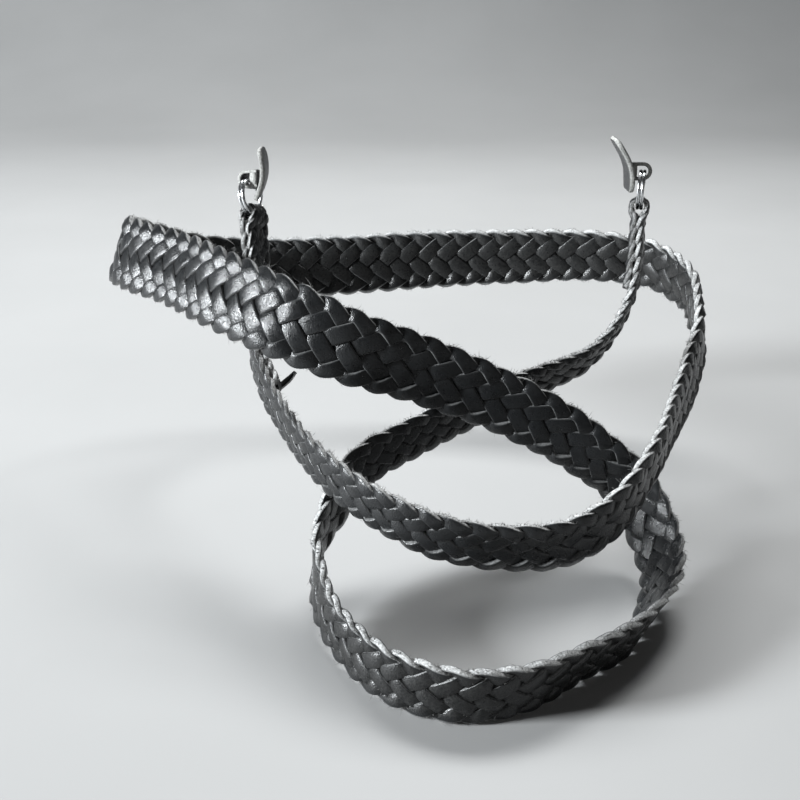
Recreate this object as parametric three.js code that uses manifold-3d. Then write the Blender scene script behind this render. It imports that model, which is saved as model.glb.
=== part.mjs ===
// A coiled camera strap: one flat braid of seven leather strands, folded over a split ring
// at each end, with a leather guard hanging on each ring. Millimetres, +Z up, +X to the
// right and +Y away from the front. The origin is within 3 mm of half way between the tops
// of the rings.
import * as THREE from 'three';
import { mergeVertices } from 'three/addons/utils/BufferGeometryUtils.js';
import Module from 'manifold-3d';

const wasm = await Module();
wasm.setup();

// Braid.
const THICK_MIDDLE = 3.2;      // thickness of the braid where it is widest
const THICK_END = 1.9;         // thickness at the rings
const WIDE_MIDDLE = 26;        // widest part of the strap
const WIDE_END = 12;           // width at the rings
const NOTCH = 0.075;           // depth of the scallop between two edge bumps, part of the width
const BUMP_END = 4.8;          // spacing of the edge bumps at the rings
const BUMP_BODY = 7.5;         // their spacing where the strap is as wide as BODY_WIDE
const BUMP_MIDDLE = 8.8;       // their spacing where the strap is widest
const BODY_WIDE = 16;
const FOLD_GAP = 0.3;          // between the strap and its turned-back end
const FOLD_WIDE = 0.96;        // width of the turned-back end, part of the strap's width there
const LEFT_FOLD = 61;          // length turned back at the left ring
const RIGHT_FOLD = 23;         // length turned back at the right ring

// Split rings.
const RING_OUTER = 13;
const WIRE = 1.1;
const COIL_STEP = 1.2;         // from one turn of the wire to the next
const RING_SIDES = 22;         // facets in one turn
const WIRE_SIDES = 6;
const JOG = 24;                // half angle in which the wire steps to its second turn, degrees
const RING_SEAT = 3.6;         // height of the ring's lowest wire above the start of the eye
const RING_MEAN = (RING_OUTER - WIRE) / 2;
const LEFT_RING_TILT = 4;      // degrees that the left ring leans out of its strap's plane
const RIGHT_RING_TILT = 0;

// Guards.
const GUARD_THICK = 1.7;
const GUARD_DEPTH = 12;
const KEEPER_THICK = 1.2;
const KEEPER_WIDE = 5;
const KEEPER_HALF = 2.35;      // half height of the keeper's centreline over the wire
const KEEPER_BEND = 1;         // from the wire's middle to where the keeper's bend starts
const KEEPER_TURNS = 6;        // facets of the bend
const CORE_START = 1.9;        // from the wire's middle to where the keeper's two layers join

// Route of the strap from the left ring to the right one: the centreline, the direction
// from the lower edge to the upper edge, and the width over the edge bumps.
const ROUTE = [
  // x, y, z, ux, uy, uz, wide
  [-63.7, -4, -18.2, -0.4, -0.9, 0.15, 11.8],
  [-63, -8, -31, -0.35, -0.85, 0.35, 12.2],
  [-63, -15, -43, -0.1, -0.85, 0.5, 12.6],
  [-62, -25, -56, 0.2, -0.8, 0.6, 13],
  [-57, -36, -64, 0.2, -0.5, 0.85, 13.5],
  [-51, -47, -69, 0.05, -0.3, 0.95, 14],
  [-37, -72, -74, 0, -0.15, 1, 14.3],
  [-20, -90, -78, 0.1, -0.25, 0.95, 15],
  [-4, -98, -82, 0.15, -0.25, 0.95, 15.9],
  [14, -99, -85, 0.05, -0.25, 0.95, 16.3],
  [33, -96, -85, -0.05, -0.2, 1, 16.6],
  [48, -86, -81, -0.1, -0.2, 1, 16.9],
  [60, -69, -76, 0, -0.15, 1, 17.2],
  [74, -39, -74, -0.05, -0.05, 1, 18.3],
  [90, -3, -69, -0.25, -0.2, 0.95, 19.5],
  [97, 15, -63, -0.25, -0.4, 0.9, 19.8],
  [99, 31, -59, -0.1, -0.45, 0.9, 20.1],
  [100, 45, -55, -0.05, -0.3, 0.95, 20.6],
  [97, 58, -53, -0.05, -0.2, 1, 21.1],
  [90, 70, -51, -0.05, -0.2, 1, 21.4],
  [70, 79, -50, -0.05, -0.1, 1, 22],
  [38, 86, -52, -0.05, 0, 1, 23],
  [-1, 89, -54, -0.05, 0.2, 0.95, 24],
  [-40, 87, -56, -0.05, 0.35, 0.9, 25],
  [-76, 82, -56, -0.05, 0.45, 0.9, 25.6],
  [-104, 73, -51, 0.05, 0.45, 0.9, 25.9],
  [-119, 60, -43, 0.25, 0.3, 0.9, 26],
  [-122, 46, -38.5, 0.3, 0.2, 0.9, 26],
  [-113, 30, -37, 0.35, 0.25, 0.9, 26],
  [-97, 12, -36, 0.35, 0.25, 0.9, 26],
  [-71, -21, -36, 0.35, 0.25, 0.9, 25.6],
  [-49, -41, -39, 0.35, 0.2, 0.9, 24.6],
  [-29, -46, -46, 0.35, 0.1, 0.9, 23.2],
  [-8, -44, -54, 0.35, 0, 0.95, 22.2],
  [13, -43, -63, 0.4, -0.1, 0.9, 21.4],
  [33, -44, -73, 0.5, -0.15, 0.85, 20.7],
  [49, -45, -84, 0.6, -0.3, 0.75, 20.2],
  [62, -46, -96, 0.6, -0.4, 0.7, 19.8],
  [66, -52, -103, 0.6, -0.4, 0.7, 19.4],
  [68, -60, -108, 0.6, -0.3, 0.75, 18.9],
  [67, -71, -111, 0.55, -0.3, 0.75, 18.3],
  [62, -83, -113, 0.5, -0.3, 0.8, 17.9],
  [55, -96, -113.5, 0.3, -0.2, 0.95, 17.4],
  [36, -112, -113, 0.2, -0.25, 0.95, 17.2],
  [19, -123, -113, 0.05, -0.15, 1, 17.1],
  [3, -126, -113, 0, -0.05, 1, 17],
  [-14, -120, -113, 0.05, 0.05, 1, 16.8],
  [-30, -102, -112, 0.15, -0.05, 1, 16.5],
  [-36, -90, -110, 0.25, -0.25, 0.95, 16.4],
  [-39, -78, -106, 0.2, -0.45, 0.85, 16.2],
  [-39, -68, -102, -0.05, -0.55, 0.8, 16.1],
  [-35, -59, -96, -0.35, -0.6, 0.7, 16],
  [-31, -53, -91, -0.45, -0.45, 0.75, 15.9],
  [-26, -48, -86, -0.4, -0.3, 0.85, 15.7],
  [-10, -39, -80, -0.2, -0.2, 0.95, 15],
  [15, -26, -73, -0.15, -0.25, 0.95, 14.4],
  [38, -18, -66, -0.2, -0.5, 0.85, 13.8],
  [48, -16, -62, -0.3, -0.65, 0.7, 13.5],
  [56, -14, -55, -0.3, -0.8, 0.55, 13.2],
  [62, -11, -46, -0.3, -0.85, 0.4, 12.9],
  [65, -9, -37, -0.3, -0.9, 0.25, 12.6],
  [66.2, -5.4, -15.4, -0.25, -0.95, 0.1, 11.8],
];

// The eye at each end, up one side from the start of the fold to its top.
const EYE = [
  // rise along the strap, distance of its centreline from the fold's middle, share of its width
  [0, 1.1, 1],
  [1.7, 1.9, 0.86],
  [3.3, 2.4, 0.72],
  [5, 2.35, 0.64],
  [6.2, 1.45, 0.6],
  [6.7, 0, 0.6],
];

// Guards from top to bottom.
const LEFT_GUARD = [
  // height, across, share of the full depth
  [7.5, -59.6, 0.55],
  [6.6, -59.3, 0.85],
  [4.6, -58.8, 1],
  [1, -58.5, 1],
  [-2.5, -58.9, 1],
  [-6, -60.1, 1],
  [-8.2, -61.1, 0.85],
  [-9, -61.5, 0.55],
];
const RIGHT_GUARD = [
  // height, across, share of the full depth
  [10.6, 55.3, 0.55],
  [9.9, 55.9, 0.85],
  [7.6, 57.5, 1],
  [4.4, 59.5, 1],
  [1, 60.9, 1],
  [-2.6, 61.5, 1],
  [-5.6, 61.6, 0.85],
  [-6.4, 61.6, 0.55],
];
const GUARD_MIDDLE = -3;       // place of both guards' middle from front to back

// Sections of the strap and of the guards' flat pieces, as parts of the half width and of the
// half thickness.
const STRAP_SECTION = [
  [1, 0.4], [0.8, 1], [-0.8, 1], [-1, 0.4],
  [-1, -0.4], [-0.8, -1], [0.8, -1], [1, -0.4],
];
const FLAT_SECTION = [
  [1, 0.55], [0.9, 1], [-0.9, 1], [-1, 0.55],
  [-1, -0.55], [-0.9, -1], [0.9, -1], [1, -0.55],
];

const vec = (a) => new THREE.Vector3(a[0], a[1], a[2]);
const along = (p, dir, d) => p.clone().addScaledVector(dir, d);

// A curve through the rows of a table whose first three columns are a place.
function rowCurve(rows) {
  const n = rows.length;
  const step = [];
  for (let i = 0; i + 1 < n; i++) {
    step.push(vec(rows[i]).distanceTo(vec(rows[i + 1])));
  }
  const slope = rows.map((row, i) => row.map((_, c) => {
    const before = i > 0 ? (row[c] - rows[i - 1][c]) / step[i - 1] : null;
    const after = i + 1 < n ? (rows[i + 1][c] - row[c]) / step[i] : null;
    if (before === null) return after;
    if (after === null) return before;
    return (before * step[i] + after * step[i - 1]) / (step[i] + step[i - 1]);
  }));
  return (i, t) => rows[i].map((_, c) => {
    const d = step[i];
    const t2 = t * t;
    const t3 = t2 * t;
    return (2 * t3 - 3 * t2 + 1) * rows[i][c] + (t3 - 2 * t2 + t) * d * slope[i][c]
      + (3 * t2 - 2 * t3) * rows[i + 1][c] + (t3 - t2) * d * slope[i + 1][c];
  });
}

// The same curve measured along its length: place, upward direction and width at a length.
function measure(rows) {
  const at = rowCurve(rows);
  const fine = [];
  const parts = 40;
  for (let i = 0; i + 1 < rows.length; i++) {
    for (let k = 0; k < parts; k++) fine.push(at(i, k / parts));
  }
  fine.push(at(rows.length - 2, 1));
  const run = [0];
  for (let i = 1; i < fine.length; i++) {
    run.push(run[i - 1] + vec(fine[i]).distanceTo(vec(fine[i - 1])));
  }
  const length = run[run.length - 1];
  const pick = (s) => {
    let low = 0;
    let high = run.length - 1;
    while (high - low > 1) {
      const mid = (low + high) >> 1;
      if (run[mid] <= s) low = mid; else high = mid;
    }
    const t = (s - run[low]) / (run[high] - run[low]);
    return fine[low].map((v, c) => v + (fine[high][c] - v) * t);
  };
  const frame = (s) => {
    const row = pick(Math.min(Math.max(s, 0), length));
    const a = vec(pick(Math.max(s - 0.5, 0)));
    const b = vec(pick(Math.min(s + 0.5, length)));
    const forward = b.sub(a).normalize();
    const up = vec(row.slice(3, 6));
    up.addScaledVector(forward, -up.dot(forward)).normalize();
    return { place: vec(row), forward, up, out: forward.clone().cross(up), wide: row[6] };
  };
  return { length, frame };
}

const strapThick = (wide) => {
  const share = Math.min(Math.max((wide - WIDE_END) / (WIDE_MIDDLE - WIDE_END), 0), 1);
  const pressed = Math.min(wide / WIDE_END, 1);
  return THICK_END * pressed + (THICK_MIDDLE - THICK_END) * share;
};
const bumpStep = (wide) => {
  const first = Math.min(Math.max((wide - WIDE_END) / (BODY_WIDE - WIDE_END), 0), 1);
  const rest = Math.min(Math.max((wide - BODY_WIDE) / (WIDE_MIDDLE - BODY_WIDE), 0), 1);
  return BUMP_END + (BUMP_BODY - BUMP_END) * first + (BUMP_MIDDLE - BUMP_BODY) * rest;
};

// A closed solid through flat sections. A station has a place, the direction of its width
// and one of its thickness, its width on either side, and its thickness.
function sweep(stations, section) {
  const n = section.length;
  const points = [];
  const faces = [];
  for (const s of stations) {
    for (const [w, t] of section) {
      const half = w > 0 ? s.upper : s.lower;
      const p = s.place.clone();
      p.addScaledVector(s.up, w * half);
      p.addScaledVector(s.out, t * s.thick / 2);
      points.push(p.x, p.y, p.z);
    }
  }
  for (let i = 0; i + 1 < stations.length; i++) {
    for (let k = 0; k < n; k++) {
      const a = i * n + k;
      const b = i * n + (k + 1) % n;
      faces.push(a, b, a + n, b, b + n, a + n);
    }
  }
  const last = (stations.length - 1) * n;
  for (let k = 1; k + 1 < n; k++) {
    faces.push(0, k + 1, k);
    faces.push(last, last + k, last + k + 1);
  }
  const g = new THREE.BufferGeometry();
  g.setAttribute('position', new THREE.Float32BufferAttribute(points, 3));
  g.setIndex(faces);
  return outward(g);
}

// Turns the faces so that they look out of the solid.
function outward(g) {
  const p = g.attributes.position;
  const index = g.index.array;
  let volume = 0;
  for (let i = 0; i < index.length; i += 3) {
    const [a, b, c] = [0, 1, 2].map((k) => new THREE.Vector3().fromBufferAttribute(p, index[i + k]));
    volume += a.dot(b.cross(c));
  }
  if (volume < 0) {
    for (let i = 0; i < index.length; i += 3) {
      const keep = index[i + 1];
      index[i + 1] = index[i + 2];
      index[i + 2] = keep;
    }
  }
  g.computeVertexNormals();
  return g;
}

function toManifold(g) {
  const plain = g.clone();
  plain.deleteAttribute('normal');
  const joined = mergeVertices(plain, 1e-5);
  return new wasm.Manifold(new wasm.Mesh({
    numProp: 3,
    vertProperties: new Float32Array(joined.attributes.position.array),
    triVerts: new Uint32Array(joined.index.array),
  }));
}

function fromManifold(m) {
  const mesh = m.getMesh();
  const g = new THREE.BufferGeometry();
  g.setAttribute('position', new THREE.Float32BufferAttribute(mesh.vertProperties, mesh.numProp));
  g.setIndex(Array.from(mesh.triVerts));
  g.computeVertexNormals();
  return g;
}

const route = measure(ROUTE);
const leftEnd = route.frame(0);
const rightEnd = route.frame(route.length);

// An end of the strap: the way up to the ring, the middle of its fold and its eye.
function strapEnd(frame, way) {
  const rise = frame.forward.clone().multiplyScalar(way);
  const middle = along(frame.place, frame.out, -EYE[0][1]);
  return { frame, rise, middle };
}
const leftFold = strapEnd(leftEnd, -1);
const rightFold = strapEnd(rightEnd, 1);

// Stations of the eye from the running part, over the top and down to the turned-back part.
function eyeRows(end) {
  const rows = [];
  for (let i = 1; i < EYE.length; i++) rows.push(EYE[i]);
  for (let i = EYE.length - 2; i > 0; i--) rows.push([EYE[i][0], -EYE[i][1], EYE[i][2]]);
  return rows.map(([up, side, share]) => {
    const place = along(along(end.middle, end.rise, up), end.frame.out, side);
    return { place, up: end.frame.up, wide: end.frame.wide * share };
  });
}

// Stations of the turned-back part, from the eye to its cut end.
function foldRows(start, way, length) {
  const rows = [];
  const first = route.frame(start).wide;
  const step = bumpStep(first) / 2;
  const count = Math.round(length / step);
  for (let i = 0; i <= count; i++) {
    const f = route.frame(start + way * length * i / count);
    const apart = strapThick(f.wide) + FOLD_GAP;
    rows.push({ place: along(f.place, f.out, -apart), up: f.up, wide: f.wide * FOLD_WIDE });
  }
  return rows;
}

// Stations of the running part, one on each edge bump and one between.
function runRows() {
  const spots = [];
  let s = 0;
  while (s < route.length) {
    spots.push(s);
    s += bumpStep(route.frame(s).wide) / 2;
  }
  const stretch = route.length / spots[spots.length - 1];
  return spots.map((v) => {
    const f = route.frame(v * stretch);
    return { place: f.place, up: f.up, wide: f.wide };
  });
}

function braidedStrap() {
  const rows = [
    ...foldRows(0, 1, LEFT_FOLD).reverse(),
    ...eyeRows(leftFold).reverse(),
    ...runRows(),
    ...eyeRows(rightFold),
    ...foldRows(route.length, -1, RIGHT_FOLD),
  ];
  const stations = rows.map((r, i) => {
    const a = rows[Math.max(i - 1, 0)].place;
    const b = rows[Math.min(i + 1, rows.length - 1)].place;
    const forward = b.clone().sub(a).normalize();
    const up = r.up.clone().addScaledVector(forward, -r.up.dot(forward)).normalize();
    const notch = NOTCH * r.wide;
    return {
      place: r.place,
      up,
      out: forward.clone().cross(up),
      upper: r.wide / 2 - (i % 2 ? notch : 0),
      lower: r.wide / 2 - (i % 2 ? 0 : notch),
      thick: strapThick(r.wide),
    };
  });
  return sweep(stations, STRAP_SECTION);
}

// Where a ring sits in its eye: its middle, its two directions, its axis and its top.
function ringSeat(end, tilt) {
  const turn = THREE.MathUtils.degToRad(tilt);
  const rise = end.rise.clone().multiplyScalar(Math.cos(turn)).addScaledVector(end.frame.out, Math.sin(turn));
  const side = end.frame.up.clone();
  const middle = along(along(end.middle, end.rise, RING_SEAT), rise, RING_MEAN);
  return { middle, rise, side, axis: rise.clone().cross(side), top: along(middle, rise, RING_MEAN) };
}
const leftSeat = ringSeat(leftFold, LEFT_RING_TILT);
const rightSeat = ringSeat(rightFold, RIGHT_RING_TILT);

// Two turns of wire side by side, with a short step from the first to the second.
function splitRing(seat) {
  const jog = THREE.MathUtils.degToRad(JOG);
  const start = jog;
  const end = 4 * Math.PI - jog;
  const count = 2 * RING_SIDES;
  const round = [];
  for (let k = 0; k < WIRE_SIDES; k++) {
    const a = 2 * Math.PI * (k + 0.5) / WIRE_SIDES;
    round.push([Math.cos(a), Math.sin(a)]);
  }
  const stations = [];
  for (let i = 0; i <= count; i++) {
    const a = start + (end - start) * i / count;
    const share = Math.min(Math.max((a - 2 * Math.PI + jog) / (2 * jog), 0), 1);
    const shift = COIL_STEP * (share * share * (3 - 2 * share) - 0.5);
    const radial = seat.side.clone().multiplyScalar(-Math.cos(a)).addScaledVector(seat.rise, Math.sin(a));
    const place = along(along(seat.middle, radial, RING_MEAN), seat.axis, shift);
    stations.push({ place, up: radial, out: seat.axis, upper: WIRE / 2, lower: WIRE / 2, thick: WIRE });
  }
  return sweep(stations, round);
}

// A leather tab that stands beside the ring, with a keeper over the ring's top.
function guard(rows, seat, towardTab) {
  const depth = new THREE.Vector3(0, 1, 0);
  const stations = rows.map(([height, across, share], i) => {
    const before = rows[Math.max(i - 1, 0)];
    const after = rows[Math.min(i + 1, rows.length - 1)];
    const down = new THREE.Vector3(after[1] - before[1], 0, after[0] - before[0]).normalize();
    return {
      place: new THREE.Vector3(across, GUARD_MIDDLE, height),
      up: depth,
      out: down.clone().cross(depth),
      upper: GUARD_DEPTH / 2 * share,
      lower: GUARD_DEPTH / 2 * share,
      thick: GUARD_THICK,
    };
  });
  const tab = sweep(stations, FLAT_SECTION);

  const wire = seat.side;
  const reach = new THREE.Vector3(towardTab, 0, 0);
  reach.addScaledVector(wire, -reach.dot(wire)).normalize();
  const lift = wire.clone().cross(reach).normalize();
  const level = rows.find((r) => r[0] < seat.top.z);
  const far = Math.abs((level[1] - seat.top.x) / reach.x);
  const around = [[far, KEEPER_HALF], [KEEPER_BEND, KEEPER_HALF]];
  for (let k = 1; k < KEEPER_TURNS; k++) {
    const a = Math.PI * (0.5 + k / KEEPER_TURNS);
    around.push([KEEPER_HALF * Math.cos(a), KEEPER_HALF * Math.sin(a)]);
  }
  around.push([KEEPER_BEND, -KEEPER_HALF], [far, -KEEPER_HALF]);
  const path = around.map(([r, l]) => along(along(seat.top, reach, r), lift, l));
  const band = path.map((place, i) => {
    const a = path[Math.max(i - 1, 0)];
    const b = path[Math.min(i + 1, path.length - 1)];
    const forward = b.clone().sub(a).normalize();
    const half = KEEPER_WIDE / 2;
    return { place, up: wire, out: forward.cross(wire), upper: half, lower: half, thick: KEEPER_THICK };
  });
  const keeper = sweep(band, FLAT_SECTION);
  const core = [CORE_START, far].map((r) => ({
    place: along(seat.top, reach, r),
    up: wire,
    out: lift,
    upper: KEEPER_WIDE / 2,
    lower: KEEPER_WIDE / 2,
    thick: 2 * KEEPER_HALF,
  }));
  const solid = toManifold(tab).add(toManifold(keeper)).add(toManifold(sweep(core, FLAT_SECTION)));
  return fromManifold(solid);
}

const leather = new THREE.MeshStandardMaterial({ color: 0x16191b, roughness: 0.6, metalness: 0 });
const steel = new THREE.MeshStandardMaterial({ color: 0xb9bfc2, roughness: 0.25, metalness: 1 });

const group = new THREE.Group();
group.name = 'camera_strap';
function add(name, geometry, material) {
  const mesh = new THREE.Mesh(geometry, material);
  mesh.name = name;
  group.add(mesh);
}
add('braided_strap', braidedStrap(), leather);
add('left_split_ring', splitRing(leftSeat), steel);
add('right_split_ring', splitRing(rightSeat), steel);
add('left_guard', guard(LEFT_GUARD, leftSeat, 1), leather);
add('right_guard', guard(RIGHT_GUARD, rightSeat, -1), leather);

export default group;
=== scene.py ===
import math
import bpy
import numpy as np
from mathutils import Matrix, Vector


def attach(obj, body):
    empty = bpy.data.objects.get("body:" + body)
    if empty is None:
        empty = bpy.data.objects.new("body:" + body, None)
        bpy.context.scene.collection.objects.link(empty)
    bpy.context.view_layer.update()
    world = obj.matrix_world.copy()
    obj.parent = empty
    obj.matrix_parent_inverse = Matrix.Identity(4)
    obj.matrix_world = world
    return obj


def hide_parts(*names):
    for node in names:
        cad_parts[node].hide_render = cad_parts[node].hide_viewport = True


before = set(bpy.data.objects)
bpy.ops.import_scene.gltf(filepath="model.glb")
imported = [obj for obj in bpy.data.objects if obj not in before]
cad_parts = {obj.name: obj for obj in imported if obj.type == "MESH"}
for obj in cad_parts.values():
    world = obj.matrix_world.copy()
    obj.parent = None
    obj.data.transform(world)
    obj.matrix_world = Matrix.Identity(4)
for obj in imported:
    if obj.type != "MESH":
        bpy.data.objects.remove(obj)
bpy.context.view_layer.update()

# Sizes are in metres and are those of the part's source.
THICK_MIDDLE = 0.0032         # thickness of the braid where it is widest
THICK_END = 0.0019            # thickness at the rings
WIDE_MIDDLE = 0.026           # widest part of the strap
WIDE_END = 0.012              # width at the rings
BUMP_END = 0.0048             # spacing of the edge bumps at the rings
BUMP_BODY = 0.0075            # their spacing where the strap is as wide as BODY_WIDE
BUMP_MIDDLE = 0.0088          # their spacing where the strap is widest
BODY_WIDE = 0.016
FOLD_GAP = 0.0003             # between the strap and its turned-back end
FOLD_WIDE = 0.96              # width of the turned-back end, part of the strap's width there
LEFT_FOLD = 0.061             # length turned back at the left ring
RIGHT_FOLD = 0.023            # length turned back at the right ring
RING_OUTER = 0.013
WIRE = 0.0011
COIL_STEP = 0.0012            # from one turn of the wire to the next
JOG = math.radians(24)        # half angle in which the wire steps to its second turn
RING_SEAT = 0.0036            # height of the ring's lowest wire above the start of the eye
RING_MEAN = (RING_OUTER - WIRE) / 2
LEFT_RING_TILT = math.radians(4)
RIGHT_RING_TILT = 0.0
GUARD_THICK = 0.0017
GUARD_DEPTH = 0.012
GUARD_MIDDLE = -0.003         # place of both guards' middle from front to back
KEEPER_THICK = 0.0012
KEEPER_WIDE = 0.005
KEEPER_HALF = 0.00235         # half height of the keeper's centreline over the wire
KEEPER_BEND = 0.001           # from the wire's middle to where the keeper's bend starts
CORE_START = 0.0019           # from the wire's middle to where the keeper's two layers join

STRANDS = 7
FLOOR = -0.122                # height of the floor, just under the lowest coil

# The strap's centreline from the left ring to the right one, the direction from its lower
# edge to its upper edge, and its width.
ROUTE = [
    # x, y, z, ux, uy, uz, wide
    (-0.0637, -0.004, -0.0182, -0.4, -0.9, 0.15, 0.0118),
    (-0.063, -0.008, -0.031, -0.35, -0.85, 0.35, 0.0122),
    (-0.063, -0.015, -0.043, -0.1, -0.85, 0.5, 0.0126),
    (-0.062, -0.025, -0.056, 0.2, -0.8, 0.6, 0.013),
    (-0.057, -0.036, -0.064, 0.2, -0.5, 0.85, 0.0135),
    (-0.051, -0.047, -0.069, 0.05, -0.3, 0.95, 0.014),
    (-0.037, -0.072, -0.074, 0, -0.15, 1, 0.0143),
    (-0.02, -0.09, -0.078, 0.1, -0.25, 0.95, 0.015),
    (-0.004, -0.098, -0.082, 0.15, -0.25, 0.95, 0.0159),
    (0.014, -0.099, -0.085, 0.05, -0.25, 0.95, 0.0163),
    (0.033, -0.096, -0.085, -0.05, -0.2, 1, 0.0166),
    (0.048, -0.086, -0.081, -0.1, -0.2, 1, 0.0169),
    (0.06, -0.069, -0.076, 0, -0.15, 1, 0.0172),
    (0.074, -0.039, -0.074, -0.05, -0.05, 1, 0.0183),
    (0.09, -0.003, -0.069, -0.25, -0.2, 0.95, 0.0195),
    (0.097, 0.015, -0.063, -0.25, -0.4, 0.9, 0.0198),
    (0.099, 0.031, -0.059, -0.1, -0.45, 0.9, 0.0201),
    (0.1, 0.045, -0.055, -0.05, -0.3, 0.95, 0.0206),
    (0.097, 0.058, -0.053, -0.05, -0.2, 1, 0.0211),
    (0.09, 0.07, -0.051, -0.05, -0.2, 1, 0.0214),
    (0.07, 0.079, -0.05, -0.05, -0.1, 1, 0.022),
    (0.038, 0.086, -0.052, -0.05, 0, 1, 0.023),
    (-0.001, 0.089, -0.054, -0.05, 0.2, 0.95, 0.024),
    (-0.04, 0.087, -0.056, -0.05, 0.35, 0.9, 0.025),
    (-0.076, 0.082, -0.056, -0.05, 0.45, 0.9, 0.0256),
    (-0.104, 0.073, -0.051, 0.05, 0.45, 0.9, 0.0259),
    (-0.119, 0.06, -0.043, 0.25, 0.3, 0.9, 0.026),
    (-0.122, 0.046, -0.0385, 0.3, 0.2, 0.9, 0.026),
    (-0.113, 0.03, -0.037, 0.35, 0.25, 0.9, 0.026),
    (-0.097, 0.012, -0.036, 0.35, 0.25, 0.9, 0.026),
    (-0.071, -0.021, -0.036, 0.35, 0.25, 0.9, 0.0256),
    (-0.049, -0.041, -0.039, 0.35, 0.2, 0.9, 0.0246),
    (-0.029, -0.046, -0.046, 0.35, 0.1, 0.9, 0.0232),
    (-0.008, -0.044, -0.054, 0.35, 0, 0.95, 0.0222),
    (0.013, -0.043, -0.063, 0.4, -0.1, 0.9, 0.0214),
    (0.033, -0.044, -0.073, 0.5, -0.15, 0.85, 0.0207),
    (0.049, -0.045, -0.084, 0.6, -0.3, 0.75, 0.0202),
    (0.062, -0.046, -0.096, 0.6, -0.4, 0.7, 0.0198),
    (0.066, -0.052, -0.103, 0.6, -0.4, 0.7, 0.0194),
    (0.068, -0.06, -0.108, 0.6, -0.3, 0.75, 0.0189),
    (0.067, -0.071, -0.111, 0.55, -0.3, 0.75, 0.0183),
    (0.062, -0.083, -0.113, 0.5, -0.3, 0.8, 0.0179),
    (0.055, -0.096, -0.1135, 0.3, -0.2, 0.95, 0.0174),
    (0.036, -0.112, -0.113, 0.2, -0.25, 0.95, 0.0172),
    (0.019, -0.123, -0.113, 0.05, -0.15, 1, 0.0171),
    (0.003, -0.126, -0.113, 0, -0.05, 1, 0.017),
    (-0.014, -0.12, -0.113, 0.05, 0.05, 1, 0.0168),
    (-0.03, -0.102, -0.112, 0.15, -0.05, 1, 0.0165),
    (-0.036, -0.09, -0.11, 0.25, -0.25, 0.95, 0.0164),
    (-0.039, -0.078, -0.106, 0.2, -0.45, 0.85, 0.0162),
    (-0.039, -0.068, -0.102, -0.05, -0.55, 0.8, 0.0161),
    (-0.035, -0.059, -0.096, -0.35, -0.6, 0.7, 0.016),
    (-0.031, -0.053, -0.091, -0.45, -0.45, 0.75, 0.0159),
    (-0.026, -0.048, -0.086, -0.4, -0.3, 0.85, 0.0157),
    (-0.01, -0.039, -0.08, -0.2, -0.2, 0.95, 0.015),
    (0.015, -0.026, -0.073, -0.15, -0.25, 0.95, 0.0144),
    (0.038, -0.018, -0.066, -0.2, -0.5, 0.85, 0.0138),
    (0.048, -0.016, -0.062, -0.3, -0.65, 0.7, 0.0135),
    (0.056, -0.014, -0.055, -0.3, -0.8, 0.55, 0.0132),
    (0.062, -0.011, -0.046, -0.3, -0.85, 0.4, 0.0129),
    (0.065, -0.009, -0.037, -0.3, -0.9, 0.25, 0.0126),
    (0.0662, -0.0054, -0.0154, -0.25, -0.95, 0.1, 0.0118),
]

# Half of the eye at each end: rise along the strap, distance from the fold's middle, share of the
# strap's width.
EYE = [
    (0, 0.0011, 1),
    (0.0017, 0.0019, 0.86),
    (0.0033, 0.0024, 0.72),
    (0.005, 0.00235, 0.64),
    (0.0062, 0.00145, 0.6),
    (0.0067, 0, 0.6),
]

# Guards from top to bottom: height, across.
LEFT_GUARD = [
    (0.0075, -0.0596),
    (0.0066, -0.0593),
    (0.0046, -0.0588),
    (0.001, -0.0585),
    (-0.0025, -0.0589),
    (-0.006, -0.0601),
    (-0.0082, -0.0611),
    (-0.009, -0.0615),
]
RIGHT_GUARD = [
    (0.0106, 0.0553),
    (0.0099, 0.0559),
    (0.0076, 0.0575),
    (0.0044, 0.0595),
    (0.001, 0.0609),
    (-0.0026, 0.0615),
    (-0.0056, 0.0616),
    (-0.0064, 0.0616),
]

FINE = 40                     # samples between two rows of the route
LOOK = 0.0005                 # distance either way in which the route's direction is measured
ROW_LOOK = 0.02               # the same along the rows of the braid, in rows


def unit(v):
    return v / np.linalg.norm(v, axis=-1, keepdims=True)


def dot(a, b):
    return np.sum(a * b, axis=-1, keepdims=True)


def share(value, low, high):
    return np.clip((value - low) / (high - low), 0, 1)


def eased(t):
    return t * t * (3 - 2 * t)


def through(rows, x):
    """A smooth curve through a table's rows, at fractional row numbers x. A row starts with a place."""
    rows = np.asarray(rows, float)
    x = np.asarray(x, float)
    step = np.linalg.norm(np.diff(rows[:, :3], axis=0), axis=1)
    rate = np.diff(rows, axis=0) / step[:, None]
    slope = np.empty_like(rows)
    slope[0], slope[-1] = rate[0], rate[-1]
    before, after = step[:-1, None], step[1:, None]
    slope[1:-1] = (rate[:-1] * after + rate[1:] * before) / (before + after)
    i = np.clip(np.floor(x).astype(int), 0, len(rows) - 2)
    t = (x - i)[:, None]
    d = step[i][:, None]
    return ((2 * t**3 - 3 * t**2 + 1) * rows[i] + (t**3 - 2 * t**2 + t) * d * slope[i]
            + (3 * t**2 - 2 * t**3) * rows[i + 1] + (t**3 - t**2) * d * slope[i + 1])


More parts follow.
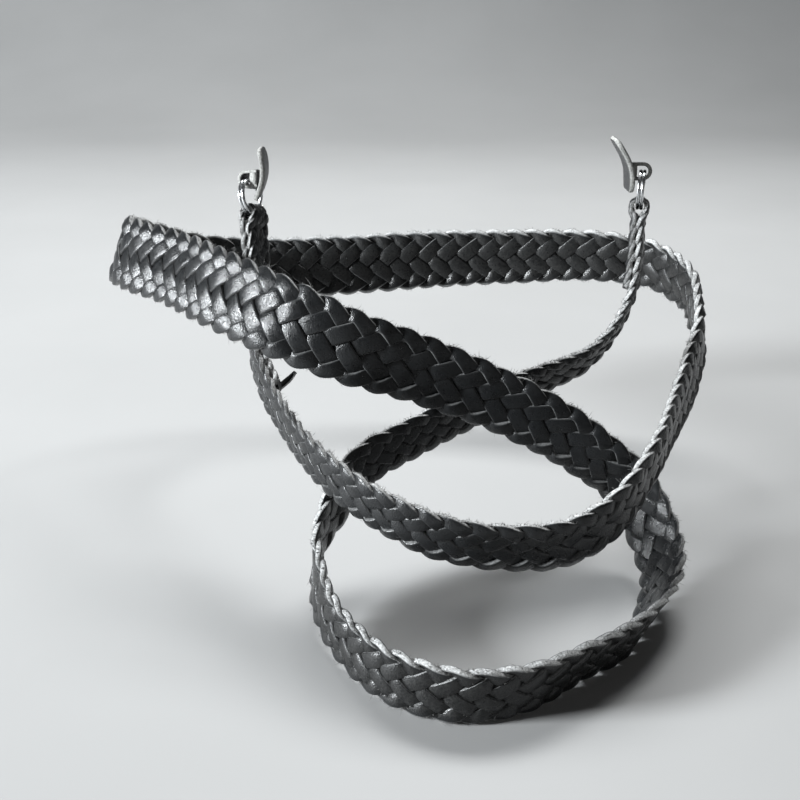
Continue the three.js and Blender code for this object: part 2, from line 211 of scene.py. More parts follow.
class Measured:
    """The route by its length."""

    def __init__(self, rows):
        self.fine = through(rows, np.linspace(0, len(rows) - 1, (len(rows) - 1) * FINE + 1))
        gaps = np.linalg.norm(np.diff(self.fine[:, :3], axis=0), axis=1)
        self.run = np.concatenate([[0], np.cumsum(gaps)])
        self.length = self.run[-1]

    def pick(self, s):
        s = min(max(s, 0), self.length)
        return np.array([np.interp(s, self.run, column) for column in self.fine.T])

    def frame(self, s):
        row = self.pick(s)
        forward = unit(self.pick(s + LOOK)[:3] - self.pick(s - LOOK)[:3])
        up = unit(row[3:6] - forward * dot(row[3:6], forward))
        return {"place": row[:3], "forward": forward, "up": up,
                "out": np.cross(forward, up), "wide": row[6]}


def strap_thick(wide):
    pressed = np.minimum(wide / WIDE_END, 1)
    return THICK_END * pressed + (THICK_MIDDLE - THICK_END) * share(wide, WIDE_END, WIDE_MIDDLE)


def bump_step(wide):
    return (BUMP_END + (BUMP_BODY - BUMP_END) * share(wide, WIDE_END, BODY_WIDE)
            + (BUMP_MIDDLE - BUMP_BODY) * share(wide, BODY_WIDE, WIDE_MIDDLE))


route = Measured(ROUTE)


def strap_end(at, way):
    """An end of the strap: the way up to the ring and the middle of its fold."""
    return {"at": at, "rise": at["forward"] * way, "middle": at["place"] - at["out"] * EYE[0][1]}


left_end = strap_end(route.frame(0), -1)
right_end = strap_end(route.frame(route.length), 1)


def eye_rows(end):
    """Rows from the running part over the eye's top and down to the turned-back part."""
    half = list(EYE[1:]) + [(rise, -side, part) for rise, side, part in EYE[-2:0:-1]]
    at = end["at"]
    return [(*(end["middle"] + end["rise"] * rise + at["out"] * side), *at["up"], at["wide"] * part)
            for rise, side, part in half]


def fold_rows(start, way, length):
    """Rows of the turned-back part, from the eye to its cut end."""
    count = round(length / (bump_step(route.frame(start)["wide"]) / 2))
    rows = []
    for i in range(count + 1):
        at = route.frame(start + way * length * i / count)
        place = at["place"] - at["out"] * (strap_thick(at["wide"]) + FOLD_GAP)
        rows.append((*place, *at["up"], at["wide"] * FOLD_WIDE))
    return rows


def run_rows():
    """Rows of the running part, one on each edge bump and one between."""
    spots = []
    s = 0.0
    while s < route.length:
        spots.append(s)
        s += bump_step(route.pick(s)[6]) / 2
    stretch = route.length / spots[-1]
    rows = []
    for v in spots:
        at = route.frame(v * stretch)
        rows.append((*at["place"], *at["up"], at["wide"]))
    return rows


# One row for each half bump of the braid, from the left cut end round to the right one.
left_fold = fold_rows(0, 1, LEFT_FOLD)[::-1]
left_eye = eye_rows(left_end)[::-1]
right_eye = eye_rows(right_end)
right_fold = fold_rows(route.length, -1, RIGHT_FOLD)
ROWS = left_fold + left_eye + run_rows() + right_eye + right_fold
FIRST = len(left_fold) + len(left_eye)      # the row where the running part starts


def band(x):
    """The flat strap at row numbers x: place, up, out and width."""
    rows = through(ROWS, x)
    ahead = through(ROWS, np.clip(x + ROW_LOOK, 0, len(ROWS) - 1))
    behind = through(ROWS, np.clip(x - ROW_LOOK, 0, len(ROWS) - 1))
    forward = unit(ahead[:, :3] - behind[:, :3])
    up = unit(rows[:, 3:6] - forward * dot(rows[:, 3:6], forward))
    return rows[:, :3], up, np.cross(forward, up), rows[:, 6]


def make(name, points, faces, material, edge=None):
    """A smooth mesh piece on the root body. Edge is the leather's side at each point."""
    mesh = bpy.data.meshes.new(name)
    mesh.from_pydata([tuple(p) for p in points], [], faces)
    mesh.polygons.foreach_set("use_smooth", [True] * len(mesh.polygons))
    if edge is not None:
        layer = mesh.attributes.new("edge", "FLOAT", "POINT")
        layer.data.foreach_set("value", np.asarray(edge, np.float32))
    mesh.materials.append(material)
    mesh.update()
    piece = bpy.data.objects.new(name, mesh)
    bpy.context.scene.collection.objects.link(piece)
    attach(piece, "root")
    return piece


def tube(places, across, out, widths, thicks, section):
    """Points and faces of a closed sweep. A section lists parts of the width and of the thickness."""
    section = np.asarray(section, float)
    n = len(section)
    m = len(places)
    points = (places[:, None, :]
              + across[:, None, :] * (section[None, :, 0] * widths[:, None])[..., None]
              + out[:, None, :] * (section[None, :, 1] * thicks[:, None])[..., None])
    points = points.reshape(-1, 3)
    faces = []
    for i in range(m - 1):
        for k in range(n):
            a = i * n + k
            b = i * n + (k + 1) % n
            faces.append((a, a + n, b + n, b))
    faces.append(tuple(range(n)))
    faces.append(tuple(range((m - 1) * n + n - 1, (m - 1) * n - 1, -1)))
    return points, faces


def wave(x, seed, scale):
    """Smooth noise along a length, from -1 to 1."""
    rng = np.random.default_rng(seed)
    knots = rng.uniform(-1, 1, int(np.ptp(x) * scale) + 4)
    t = (x - x.min()) * scale
    i = np.floor(t).astype(int)
    f = eased(t - i)
    return knots[i] * (1 - f) + knots[i + 1] * f


# Heights of a strand over one zigzag, at half bumps: over one, under two, over two, under one.
HALF_BUMPS = 2 * STRANDS
OVER_AT = np.array([-1, 0.45, 1.1, 2, 3, 4, 5, 6, 7.45, 8.1, 9, 10, 11, 12, 13, 14.45])
OVER = np.array([-1, 1, 1, -1, -1, 1, 1, -1, 1, 1, -1, -1, 1, 1, -1, 1])
ARCH = 0.26                   # how much a strand arches between two crossings on one side
ROUND = 0.97                  # how sharply a strand turns at the strap's edge, 1 is a point
FIRST_REACH = 0.4             # first guess of a strand's reach, part of the strap's width
REACH_ROUNDS = 6              # rounds in which the reach and the strand's width settle
EDGE_ROOM = 0.36              # part of a strand's width outside its centreline at the strap's edge


def over(phase):
    x = phase * HALF_BUMPS
    i = np.searchsorted(OVER_AT, x, side="right") - 1
    i = np.clip(i, 0, len(OVER_AT) - 2)
    t = (x - OVER_AT[i]) / (OVER_AT[i + 1] - OVER_AT[i])
    flat = OVER[i] == OVER[i + 1]
    arch = np.where(flat, OVER[i] * ARCH * np.sin(math.pi * t), 0)
    return OVER[i] + (OVER[i + 1] - OVER[i]) * eased(t) + arch


def zigzag(phase):
    return np.arcsin(ROUND * np.cos(2 * math.pi * phase)) / math.asin(ROUND)


def strand_sizes(wide):
    """Width of a strand and reach of its centreline on either side of the strap's middle."""
    bump = bump_step(wide)
    reach = wide * FIRST_REACH
    for _ in range(REACH_ROUNDS):
        slope = reach * ROUND * 2 * math.pi / (math.asin(ROUND) * STRANDS * bump)
        strand = bump * np.sin(np.arctan(slope))
        reach = wide / 2 - strand * EDGE_ROOM
    return strand, reach


STRAND_SECTION = [
    (-0.5, 0.0), (-0.5, 0.25), (-0.475, 0.40), (-0.41, 0.47), (-0.2, 0.5), (0, 0.51),
    (0.2, 0.5), (0.41, 0.47), (0.475, 0.40), (0.5, 0.25), (0.5, 0.0), (0.495, -0.35),
    (0.44, -0.48), (0, -0.5), (-0.44, -0.48), (-0.495, -0.35),
]
# 0 on the grain side, 1 on the cut edge and -1 on the flesh side.
STRAND_EDGE = [1, 0.8, 0.15, 0, 0, 0, 0, 0, 0.15, 0.8, 1, 1, -1, -1, -1, 1]
EDGE_ROLL = math.radians(18)  # how far a strand leans back where it turns
TURN_SHARP = 8                # power that keeps a turn's changes close to the strap's edge
RISE = 0.29                   # height of a crossing, part of the strap's thickness
STRAND_FILL = 1.11            # width of a strand, part of its spacing
TURN_NARROW = 0.22            # what a turn takes off that part
STRAND_THICK = 0.57           # thickness of a strand, part of the strap's
TURN_THICK = 0.4              # what a turn adds to it

# Unevenness of the weave: its amount, the first strand's seed and the knots in one bump.
DRIFT = (0.06, 31, 0.55)           # along the strap, in bumps
UNEVEN_RISE = (0.16, 71, 1.3)      # of the height of a crossing
UNEVEN_ROLL = (0.12, 131, 1.1)     # of the lean, in radians
UNEVEN_WIDTH = (0.04, 171, 0.9)    # of the width


def uneven(kind, k, braid):
    amount, seed, scale = kind
    return amount * wave(braid, seed + k, scale)


def strand_line(k, x):
    """Centre, width direction, out direction, width, thickness and phase of one strand."""
    place, up, out, wide = band(x)
    braid = (x - FIRST) / 2
    phase = ((braid + k + uneven(DRIFT, k, braid)) / STRANDS) % 1.0
    strand, reach = strand_sizes(wide)
    thick = strap_thick(wide)
    turn = np.abs(np.cos(2 * math.pi * phase)) ** TURN_SHARP
    centre = place + up * (zigzag(phase) * reach)[:, None]
    rise = RISE * thick * over(phase) * (1 + uneven(UNEVEN_RISE, k, braid))
    centre = centre + out * rise[:, None]
    along = unit(np.gradient(centre, axis=0))
    normal = unit(out - along * dot(out, along))
    across = np.cross(normal, along)
    lean = -EDGE_ROLL * turn * np.sign(np.cos(2 * math.pi * phase))
    roll = (lean + uneven(UNEVEN_ROLL, k, braid))[:, None]
    across, normal = (across * np.cos(roll) + normal * np.sin(roll),
                      normal * np.cos(roll) - across * np.sin(roll))
    strand = strand * (STRAND_FILL - TURN_NARROW * turn) * (1 + uneven(UNEVEN_WIDTH, k, braid))
    strand_thick = STRAND_THICK * thick * (1 + TURN_THICK * turn)
    return centre, across, normal, strand, strand_thick, phase


STEPS = 6                     # stations of a strand in half a bump
STATIONS = np.linspace(0, len(ROWS) - 1, (len(ROWS) - 1) * STEPS + 1)
LINES = [strand_line(k, STATIONS) for k in range(STRANDS)]

PALE_SHARP = 4                # power that keeps the palest cuts close to the strap's edge
LOWER_PAINTED_SHADE = 0.45             # paleness of the cuts along the strap's lower edge, 1 along the upper: painted shade that darkens the lower edge, which faces away from the top light
INNER_PALE = 0.28             # paleness of the cuts inside the braid
FLESH_PALE = 0.7              # paleness of the flesh side where it shows at the strap's edge


def strands(material):
    """The seven strands. Their cut edges are palest along the strap's edges, with painted shade darkening
    those along the lower edge.
    """
    side = np.sign(np.array(STRAND_SECTION)[:, 0])
    # Painted shade: the cuts and the flesh side along the lower edge are darkened, the upper edge keeps
    # the full pale cut colour.
    painted_edge_light = np.where(side > 0, 1, LOWER_PAINTED_SHADE)
    cut = np.array(STRAND_EDGE)
    for k, (centre, across, normal, wide, thick, phase) in enumerate(LINES):
        points, faces = tube(centre, across, normal, wide, thick, STRAND_SECTION)
        outer = np.clip(np.cos(2 * math.pi * phase)[:, None] * side, 0, 1) ** PALE_SHARP
        flesh = (FLESH_PALE * painted_edge_light + 1) * outer - 1
        edge = np.where(cut < 0, flesh, cut * (INNER_PALE + (painted_edge_light - INNER_PALE) * outer))
        name = f"braid_strand_{k + 1}"
        make(name, points, faces, material, edge=edge.ravel())
    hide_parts("braided_strap")


HAIR_RADIUS = 0.00007
HAIR_SIDES = 3
HAIR_LEVELS = ((0, 1), (0.55, 0.75))        # part of the hair's length, part of its radius
HAIR_TIP = len(HAIR_LEVELS) * HAIR_SIDES    # number of the tip among a hair's points
HAIR_BEND = 0.5               # how far the tip bends aside, part of the length
HAIR_CLEAR = 0.0002           # hairs that reach closer to the floor are left out


def hairs(name, root, aim, bend, size, material):
    """Fine tapered hairs, each bent one way."""
    n = len(root)
    a = unit(np.cross(aim, bend))
    b = np.cross(aim, a)
    points = np.empty((n, HAIR_TIP + 1, 3))
    for level, (t, r) in enumerate(HAIR_LEVELS):
        spot = root + (aim * t + bend * HAIR_BEND * t * t) * size[:, None]
        for q in range(HAIR_SIDES):
            angle = q * 2 * math.pi / HAIR_SIDES
            around = a * math.cos(angle) + b * math.sin(angle)
            points[:, level * HAIR_SIDES + q] = spot + around * HAIR_RADIUS * r
    points[:, HAIR_TIP] = root + (aim + bend * HAIR_BEND) * size[:, None]
    clear = points[:, :, 2].min(axis=1) > FLOOR + HAIR_CLEAR
    points = points[clear]
    faces = []
    for i in range(len(points)):
        foot = i * (HAIR_TIP + 1)
        upper = foot + HAIR_SIDES
        for q in range(HAIR_SIDES):
            r = (q + 1) % HAIR_SIDES
            faces.append((foot + q, foot + r, upper + r, upper + q))
            faces.append((upper + q, upper + r, foot + HAIR_TIP))
        faces.append((foot + 2, foot + 1, foot))
    make(name, points.reshape(-1, 3), faces, material)


BARE_END = 12                 # stations without hairs at each cut end of the strap
HAIR_REACH = 3                # power that keeps the hairs close to the strap's edge
HAIR_ROOT = 0.49              # place of the roots, part of a strand's width
ROOT_HEIGHTS = (-0.5, 0.3)    # range of the roots over a strand's thickness
AIM_OUT = (0.15, 1.0)         # ranges of the hairs' directions: out of the edge,
AIM_ALONG = (-1.0, 1.0)       # along it
AIM_UP = (-0.9, 0.5)          # and up from the strand
HAIR_SIZE = 0.00030           # scale of the hairs' lengths
HAIR_SHORTEST = 0.00025
HAIR_LONGEST = 0.0020
LONG_HAIRS = 0.03             # part of the hairs that are LONG_TIMES as long
LONG_TIMES = 2.2


def edge_hairs(name, side, material, count, seed):
    """Raw fibres on the cut edges of the strands along one edge of the braid."""
    rng = np.random.default_rng(seed)
    parts = []
    for centre, across, normal, wide, thick, phase in LINES:
        pick = rng.integers(BARE_END, len(STATIONS) - BARE_END, count)
        near = side * np.cos(2 * math.pi * phase[pick])
        pick = pick[rng.uniform(0, 1, count) < np.clip(near, 0, 1) ** HAIR_REACH]
        n = len(pick)
        out = across[pick] * side
        root = (centre[pick] + out * (HAIR_ROOT * wide[pick])[:, None]
                + normal[pick] * (rng.uniform(*ROOT_HEIGHTS, n) * thick[pick])[:, None])
        along = np.cross(across[pick], normal[pick])
        aim = unit(out * rng.uniform(*AIM_OUT, (n, 1)) + along * rng.uniform(*AIM_ALONG, (n, 1))
                   + normal[pick] * rng.uniform(*AIM_UP, (n, 1)))
        bend = unit(rng.normal(0, 1, (n, 3)))
        size = np.clip(rng.gamma(2.0, HAIR_SIZE, n), HAIR_SHORTEST, HAIR_LONGEST)
        size = np.where(rng.uniform(0, 1, n) < LONG_HAIRS, size * LONG_TIMES, size)
        parts.append((root, aim, bend, size))
    root, aim, bend, size = (np.concatenate(v) for v in zip(*parts))
    hairs(name, root, aim, bend, size, material)


# The end of one strand that stands free where the left end has been turned back.
LACE_END = [
    # x, y, z
    (-0.0562, -0.0362, -0.0655),
    (-0.0541, -0.0350, -0.0644),
    (-0.0520, -0.0342, -0.0630),
    (-0.0498, -0.0336, -0.0612),
    (-0.0478, -0.0332, -0.0590),
]
LACE_STATIONS = 25
LACE_TAPER = [0, 17, 24]      # stations at which the lace has these widths
LACE_WIDTHS = [0.0023, 0.0021, 0.0009]
LACE_THICK = 0.0011
LACE_FACE = np.array([0.3, -0.75, -0.55])   # rough direction of the lace's width


def lace_end(name, material):
    line = through(LACE_END, np.linspace(0, len(LACE_END) - 1, LACE_STATIONS))
    along = unit(np.gradient(line, axis=0))
    across = unit(LACE_FACE - along * dot(LACE_FACE, along))
    normal = np.cross(along, across)
    widths = np.interp(np.arange(LACE_STATIONS), LACE_TAPER, LACE_WIDTHS)
    thicks = np.full(LACE_STATIONS, LACE_THICK)
    points, faces = tube(line, across, normal, widths, thicks, STRAND_SECTION)
    edge = np.tile(STRAND_EDGE, LACE_STATIONS)
    make(name, points, faces, material, edge=edge)


def ring_seat(end, tilt):
    """Where a ring sits in its eye: its middle, its two directions, its axis and its top."""
    at = end["at"]
    rise = end["rise"] * math.cos(tilt) + at["out"] * math.sin(tilt)
    middle = end["middle"] + end["rise"] * RING_SEAT + rise * RING_MEAN
    return {"middle": middle, "rise": rise, "side": at["up"],
            "axis": np.cross(rise, at["up"]), "top": middle + rise * RING_MEAN}


RING_STATIONS = 241
WIRE_SIDES = 16
WIRE_SQUARE = 0.7             # flattens the wire's four sides, 1 is round
WIRE_TIP = [0.45, 0.8, 0.95, 1]             # parts of its thickness from a cut end on


def split_ring(name, seat, material, solid):
    """Two turns of wire with rounded ends."""
    turn = np.linspace(JOG, 4 * math.pi - JOG, RING_STATIONS)
    t = share(turn, 2 * math.pi - JOG, 2 * math.pi + JOG)
    shift = COIL_STEP * (eased(t) - 0.5)
    radial = seat["rise"] * np.sin(turn)[:, None] - seat["side"] * np.cos(turn)[:, None]
    places = seat["middle"] + radial * RING_MEAN + seat["axis"] * shift[:, None]
    axis = np.tile(seat["axis"], (RING_STATIONS, 1))
    count = np.arange(RING_STATIONS)
    size = WIRE * np.interp(np.minimum(count, count[::-1]), range(len(WIRE_TIP)), WIRE_TIP)
    section = []
    for i in range(WIRE_SIDES):
        a = 2 * math.pi * (i + 0.5) / WIRE_SIDES
        section.append([0.5 * math.copysign(abs(c) ** WIRE_SQUARE, c) for c in (math.cos(a), math.sin(a))])
    points, faces = tube(places, radial, axis, size, size, section)
    piece = make(name, points, faces, material)
    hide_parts(solid)


PLATE_SECTION = [
    (-0.5, 0.1), (-0.497, 0.3), (-0.48, 0.43), (-0.45, 0.49), (-0.3, 0.5), (0, 0.5),
    (0.3, 0.5), (0.45, 0.49), (0.48, 0.43), (0.497, 0.3), (0.5, 0.1), (0.5, -0.1),
    (0.497, -0.3), (0.48, -0.43), (0.45, -0.49), (0.3, -0.5), (0, -0.5), (-0.3, -0.5),
    (-0.45, -0.49), (-0.48, -0.43), (-0.497, -0.3), (-0.5, -0.1),
]
PLATE_EDGE = [1, 0.9, 0.6, 0.2, 0, 0, 0, 0.2, 0.6, 0.9, 1, 1, 0.9, 0.6, 0.2, 0, 0, 0, 0.2, 0.6, 0.9, 1]
TAB_STATIONS = 64
TAB_CORNER = 0.004            # height of a tab's rounded corners
TAB_RIM = [0, 0.0004, 0.001]  # distances from a tab's end
TAB_RIM_THICK = [0.5, 0.9, 1]               # parts of its thickness at those distances
KEEPER_STATIONS = 61
KEEPER_TURNS = 9              # stretches of the keeper's bend


def guard_tab(rows):
    """Points, faces and leather sides of a guard's tab."""
    table = [(across, GUARD_MIDDLE, height) for height, across in rows]
    places = through(table, np.linspace(0, len(table) - 1, TAB_STATIONS))
    down = unit(np.gradient(places, axis=0))
    depth = np.tile(np.array([0.0, 1.0, 0.0]), (TAB_STATIONS, 1))
    out = np.cross(down, depth)
    run = np.concatenate([[0], np.cumsum(np.linalg.norm(np.diff(places, axis=0), axis=1))])
    from_end = np.minimum(run, run[-1] - run)
    near = np.clip(from_end / TAB_CORNER, 0, 1)
    part = 0.5 + 0.5 * np.sqrt(1 - (1 - near) ** 2)
    thick = GUARD_THICK * np.interp(from_end, TAB_RIM, TAB_RIM_THICK)
    points, faces = tube(places, depth, out, GUARD_DEPTH * part, thick, PLATE_SECTION)
    edge = np.tile(PLATE_EDGE, TAB_STATIONS)
    edge[: 2 * len(PLATE_EDGE)] = 1
    edge[-2 * len(PLATE_EDGE):] = 1
    return points, faces, edge


def keeper_path(far):
    """The keeper's way round the wire and back, as distances toward the tab and up."""
    half_way = (far + KEEPER_BEND) / 2
    straight = [(far, KEEPER_HALF), (half_way, KEEPER_HALF), (KEEPER_BEND, KEEPER_HALF)]
    bend = []
    for k in range(1, KEEPER_TURNS):
        a = math.pi * (0.5 + k / KEEPER_TURNS)
        bend.append((KEEPER_HALF * math.cos(a), KEEPER_HALF * math.sin(a)))
    return straight + bend + [(reach, -lift) for reach, lift in straight[::-1]]


def guard(name, rows, seat, toward, material, solid):
    """A leather tab beside the ring, with its keeper over the ring's top."""
    points, faces, edge = guard_tab(rows)
    wire = seat["side"]
    reach = np.array([toward, 0.0, 0.0])
    reach = unit(reach - wire * dot(reach, wire))
    lift = unit(np.cross(wire, reach))
    level = next(row for row in rows if row[0] < seat["top"][2])
    far = abs((level[1] - seat["top"][0]) / reach[0])
    path = keeper_path(far)
    loop = np.array([seat["top"] + reach * ahead + lift * above for ahead, above in path])
    line = through(loop, np.linspace(0, len(loop) - 1, KEEPER_STATIONS))
    wires = np.tile(wire, (KEEPER_STATIONS, 1))
    out = np.cross(unit(np.gradient(line, axis=0)), wires)
    wide = np.full(KEEPER_STATIONS, KEEPER_WIDE)
    thick = np.full(KEEPER_STATIONS, KEEPER_THICK)
    keeper = tube(line, wires, out, wide, thick, PLATE_SECTION)
    ends = np.array([seat["top"] + reach * ahead for ahead in (CORE_START, far)])
    high = np.full(2, 2 * KEEPER_HALF)
    core = tube(ends, wires[:2], np.tile(lift, (2, 1)), wide[:2], high, PLATE_SECTION)
    for more_points, more_faces in (keeper, core):
        base = len(points)
        points = np.concatenate([points, more_points])
        faces = faces + [tuple(i + base for i in face) for face in more_faces]
        edge = np.concatenate([edge, np.tile(PLATE_EDGE, len(more_points) // len(PLATE_EDGE))])
    piece = make(name, points, faces, material, edge=edge)
    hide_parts(solid)


def node(tree, kind, **settings):
    """A shader node. A setting that starts with in_ is the value of the input of that name."""
    made = tree.nodes.new(kind)
    for key, value in settings.items():
        if key.startswith("in_"):
            name = key[3:].replace("_", " ")
            made.inputs[name].default_value = value
        else:
            setattr(made, key, value)
    return made


def ramp(tree, source, stops):
    made = tree.nodes.new("ShaderNodeValToRGB")
    while len(made.color_ramp.elements) < len(stops):
        made.color_ramp.elements.new(0.5)
    for element, (at, colour) in zip(made.color_ramp.elements, stops):
        element.position = at
        element.color = (*colour, 1)
    tree.links.new(source, made.inputs["Fac"])
    return made.outputs["Color"]


def blank_material(name):
    """A new material, its node tree, its shader and the place of a point on the object."""
    material = bpy.data.materials.new(name)
    material.use_nodes = True
    tree = material.node_tree
    place = tree.nodes.new("ShaderNodeTexCoord").outputs["Object"]
    return material, tree, tree.nodes["Principled BSDF"], place


MIX_FIRST, MIX_SECOND, MIX_RESULT = 6, 7, 2   # sockets of a colour mix
RAW_DARK = 0.4                # darkest fibres of a cut edge, part of its colour
PORE_DEPTH = 0.00015
SMOOTHER = 0.07               # how far the roughness goes under its mean value
ROUGHER = 0.09                # and over it
CUT_MATT = 0.35               # what a cut edge adds to the roughness
LEATHER_SPECULAR = 0.42


def leather(name, dark, light, raw, flesh, rough, grain=1.0):
    """Dyed leather: a smooth pebbled grain side, paler cut edges and a rough flesh side."""
    material, tree, shader, place = blank_material(name)
    link = tree.links.new
    side = node(tree, "ShaderNodeAttribute", attribute_name="edge").outputs["Fac"]
    cut = node(tree, "ShaderNodeMapRange", in_From_Min=0.0, in_From_Max=1.0).outputs["Result"]
    back = node(tree, "ShaderNodeMapRange", in_From_Min=0.0, in_From_Max=-0.9).outputs["Result"]
    link(side, cut.node.inputs["Value"])
    link(side, back.node.inputs["Value"])

    tone = node(tree, "ShaderNodeTexNoise", in_Scale=160.0, in_Detail=5.0, in_Roughness=0.6)
    link(place, tone.inputs["Vector"])
    face = ramp(tree, tone.outputs["Fac"], [(0.30, dark), (0.72, light)])
    speck = node(tree, "ShaderNodeTexNoise", in_Scale=1500.0, in_Detail=3.0, in_Roughness=0.6)
    link(place, speck.inputs["Vector"])
    rawness = ramp(tree, speck.outputs["Fac"], [(0.30, [c * RAW_DARK for c in raw]), (0.62, raw)])
    nap = ramp(tree, speck.outputs["Fac"], [(0.35, dark), (0.75, flesh)])
    colour = face
    for factor, other in ((cut, rawness), (back, nap)):
        mix = node(tree, "ShaderNodeMix", data_type="RGBA")
        link(factor, mix.inputs["Factor"])
        link(colour, mix.inputs[MIX_FIRST])
        link(other, mix.inputs[MIX_SECOND])
        colour = mix.outputs[MIX_RESULT]
    link(colour, shader.inputs["Base Color"])

    pores = node(tree, "ShaderNodeTexVoronoi", in_Scale=2300.0, in_Randomness=1.0)
    link(place, pores.inputs["Vector"])
    crease = node(tree, "ShaderNodeTexNoise", in_Scale=700.0, in_Detail=6.0, in_Roughness=0.7)
    link(place, crease.inputs["Vector"])
    bump = node(tree, "ShaderNodeBump", invert=True, in_Strength=0.55, in_Distance=PORE_DEPTH * grain)
    link(pores.outputs["Distance"], bump.inputs["Height"])
    link(bump.outputs["Normal"], shader.inputs["Normal"])

    finish = node(tree, "ShaderNodeMapRange", in_From_Min=0.3, in_From_Max=0.7,
                  in_To_Min=rough - SMOOTHER, in_To_Max=rough + ROUGHER)
    link(crease.outputs["Fac"], finish.inputs["Value"])
    matt = node(tree, "ShaderNodeMath", operation="MULTIPLY_ADD", use_clamp=True)
    link(cut, matt.inputs[0])
    matt.inputs[1].default_value = CUT_MATT
    link(finish.outputs["Result"], matt.inputs[2])
    link(matt.outputs["Value"], shader.inputs["Roughness"])
    shader.inputs["Specular IOR Level"].default_value = LEATHER_SPECULAR
    return material


def steel(name):
    """Bright plated wire with fine wear."""
    material, tree, shader, place = blank_material(name)
    link = tree.links.new
    wear = node(tree, "ShaderNodeTexNoise", in_Scale=900.0, in_Detail=6.0, in_Roughness=0.7)
    link(place, wear.inputs["Vector"])
    colour = ramp(tree, wear.outputs["Fac"], [(0.3, (0.50, 0.51, 0.52)), (0.65, (0.74, 0.75, 0.76))])
    link(colour, shader.inputs["Base Color"])
    finish = node(tree, "ShaderNodeMapRange", in_From_Min=0.3, in_From_Max=0.7,
                  in_To_Min=0.14, in_To_Max=0.34)
    link(wear.outputs["Fac"], finish.inputs["Value"])
    link(finish.outputs["Result"], shader.inputs["Roughness"])
    bump = node(tree, "ShaderNodeBump", in_Strength=0.12, in_Distance=0.00003)
    link(wear.outputs["Fac"], bump.inputs["Height"])
    link(bump.outputs["Normal"], shader.inputs["Normal"])
    shader.inputs["Metallic"].default_value = 1.0
    return material


def floor_finish(name):
    """A plain pale floor with a faint mottle."""
    material, tree, shader, place = blank_material(name)
    mottle = node(tree, "ShaderNodeTexNoise", in_Scale=6.0, in_Detail=4.0)
    tree.links.new(place, mottle.inputs["Vector"])
    shades = [(0.3, (0.36, 0.36, 0.357)), (0.7, (0.385, 0.385, 0.382))]
    tree.links.new(ramp(tree, mottle.outputs["Fac"], shades), shader.inputs["Base Color"])
    shader.inputs["Roughness"].default_value = 0.6
    return material


braid_leather = leather("braid_leather", dark=(0.005, 0.0055, 0.006), light=(0.012, 0.013, 0.014),
                        raw=(0.58, 0.585, 0.58), flesh=(0.03, 0.03, 0.029), rough=0.295)
guard_leather = leather("guard_leather", dark=(0.008, 0.008, 0.009), light=(0.02, 0.02, 0.021),
                        raw=(0.42, 0.42, 0.40), flesh=(0.04, 0.04, 0.04), rough=0.42, grain=0.7)
fibre_leather = leather("fibre_leather", dark=(0.10, 0.10, 0.098), light=(0.30, 0.295, 0.285),
                        raw=(0.2, 0.2, 0.19), flesh=(0.1, 0.1, 0.1), rough=0.7)
ring_steel = steel("ring_steel")

strands(braid_leather)
edge_hairs("upper_edge_fibres", 1, fibre_leather, count=9500, seed=5)
edge_hairs("lower_edge_fibres", -1, fibre_leather, count=5200, seed=9)
lace_end("left_lace_end", braid_leather)
left_seat = ring_seat(left_end, LEFT_RING_TILT)
right_seat = ring_seat(right_end, RIGHT_RING_TILT)
split_ring("left_ring", left_seat, ring_steel, "left_split_ring")
split_ring("right_ring", right_seat, ring_steel, "right_split_ring")
guard("left_guard_leather", LEFT_GUARD, left_seat, 1, guard_leather, "left_guard")
guard("right_guard_leather", RIGHT_GUARD, right_seat, -1, guard_leather, "right_guard")

FLOOR_FRONT = -2.5
FLOOR_BACK = 0.9              # where the floor starts to curve up
CURVE_RADIUS = 0.8
CURVE_STEPS = 12
WALL_TOP = 4.0
FLOOR_HALF = 4.0              # half width of the floor


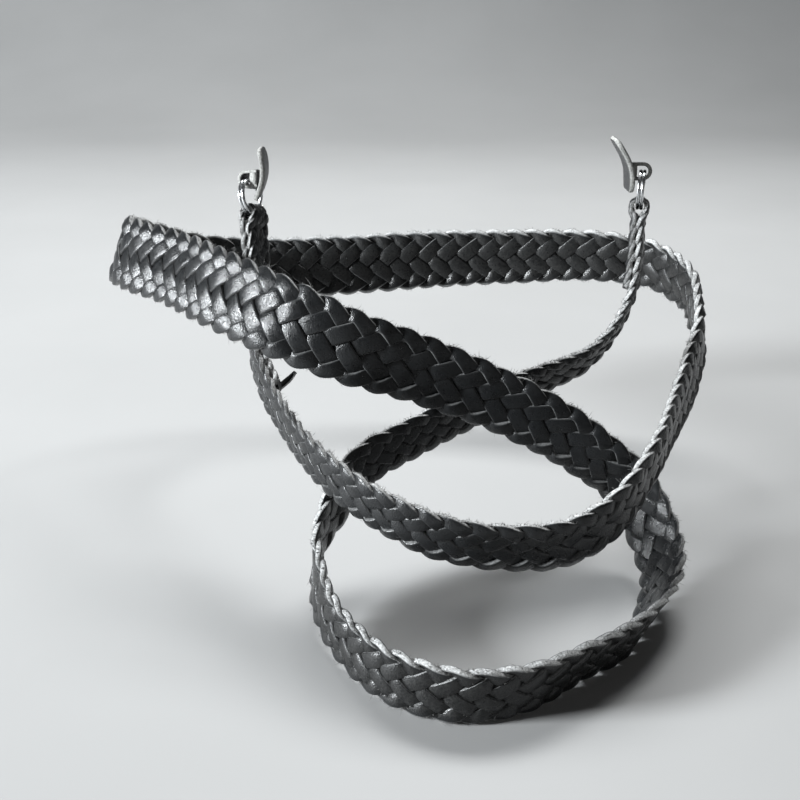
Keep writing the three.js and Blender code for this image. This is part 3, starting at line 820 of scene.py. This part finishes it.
def backdrop():
    """A pale floor that curves up far behind."""
    line = [(FLOOR_FRONT, FLOOR), (FLOOR_BACK, FLOOR)]
    for i in range(1, CURVE_STEPS + 1):
        a = math.radians(90 * i / CURVE_STEPS)
        line.append((FLOOR_BACK + CURVE_RADIUS * math.sin(a), FLOOR + CURVE_RADIUS * (1 - math.cos(a))))
    line.append((FLOOR_BACK + CURVE_RADIUS, WALL_TOP))
    points = [(x, y, z) for y, z in line for x in (-FLOOR_HALF, FLOOR_HALF)]
    faces = [(2 * i, 2 * i + 1, 2 * i + 3, 2 * i + 2) for i in range(len(line) - 1)]
    mesh = bpy.data.meshes.new("studio_floor")
    mesh.from_pydata(points, [], faces)
    mesh.polygons.foreach_set("use_smooth", [True] * len(mesh.polygons))
    mesh.materials.append(floor_finish("studio_floor"))
    floor = bpy.data.objects.new("studio_floor", mesh)
    bpy.context.scene.collection.objects.link(floor)


def lamp(name, place, aim, size, power, colour):
    """A rectangular light at a place, aimed at another."""
    light = bpy.data.lights.new(name, "AREA")
    light.shape = "RECTANGLE"
    light.size, light.size_y = size
    light.energy = power
    light.color = colour
    piece = bpy.data.objects.new(name, light)
    bpy.context.scene.collection.objects.link(piece)
    piece.location = place
    piece.rotation_mode = "QUATERNION"
    piece.rotation_quaternion = (Vector(aim) - Vector(place)).to_track_quat("-Z", "Y")


bpy.context.scene.view_settings.view_transform = "Standard"
backdrop()
lamp("key", place=(-1.56, -0.38, 0.42), aim=(-0.06, -0.02, -0.05), size=(0.34, 0.34),
     power=74.0, colour=(0.93, 0.97, 1.0))
lamp("top", place=(0.10, 0.55, 0.85), aim=(0, -0.02, -0.07), size=(0.8, 0.3),
     power=15.5, colour=(0.97, 0.99, 1.0))
lamp("fill", place=(0.4, -1.2, 0.6), aim=(0, 0, -0.07), size=(1.2, 0.8),
     power=0.8, colour=(1.0, 0.98, 0.96))

world = bpy.data.worlds.new("studio")
world.use_nodes = True
background = world.node_tree.nodes["Background"]
background.inputs["Color"].default_value = (0.8, 0.82, 0.85, 1)
background.inputs["Strength"].default_value = 0.05
bpy.context.scene.world = world

view = bpy.data.cameras.new("view")
view.lens = 45
view.sensor_width = 36
camera = bpy.data.objects.new("view", view)
camera.location = (-0.014, -0.335, 0.058)
camera.rotation_euler = (math.radians(67.2), 0, 0)
bpy.context.scene.collection.objects.link(camera)
bpy.context.scene.camera = camera
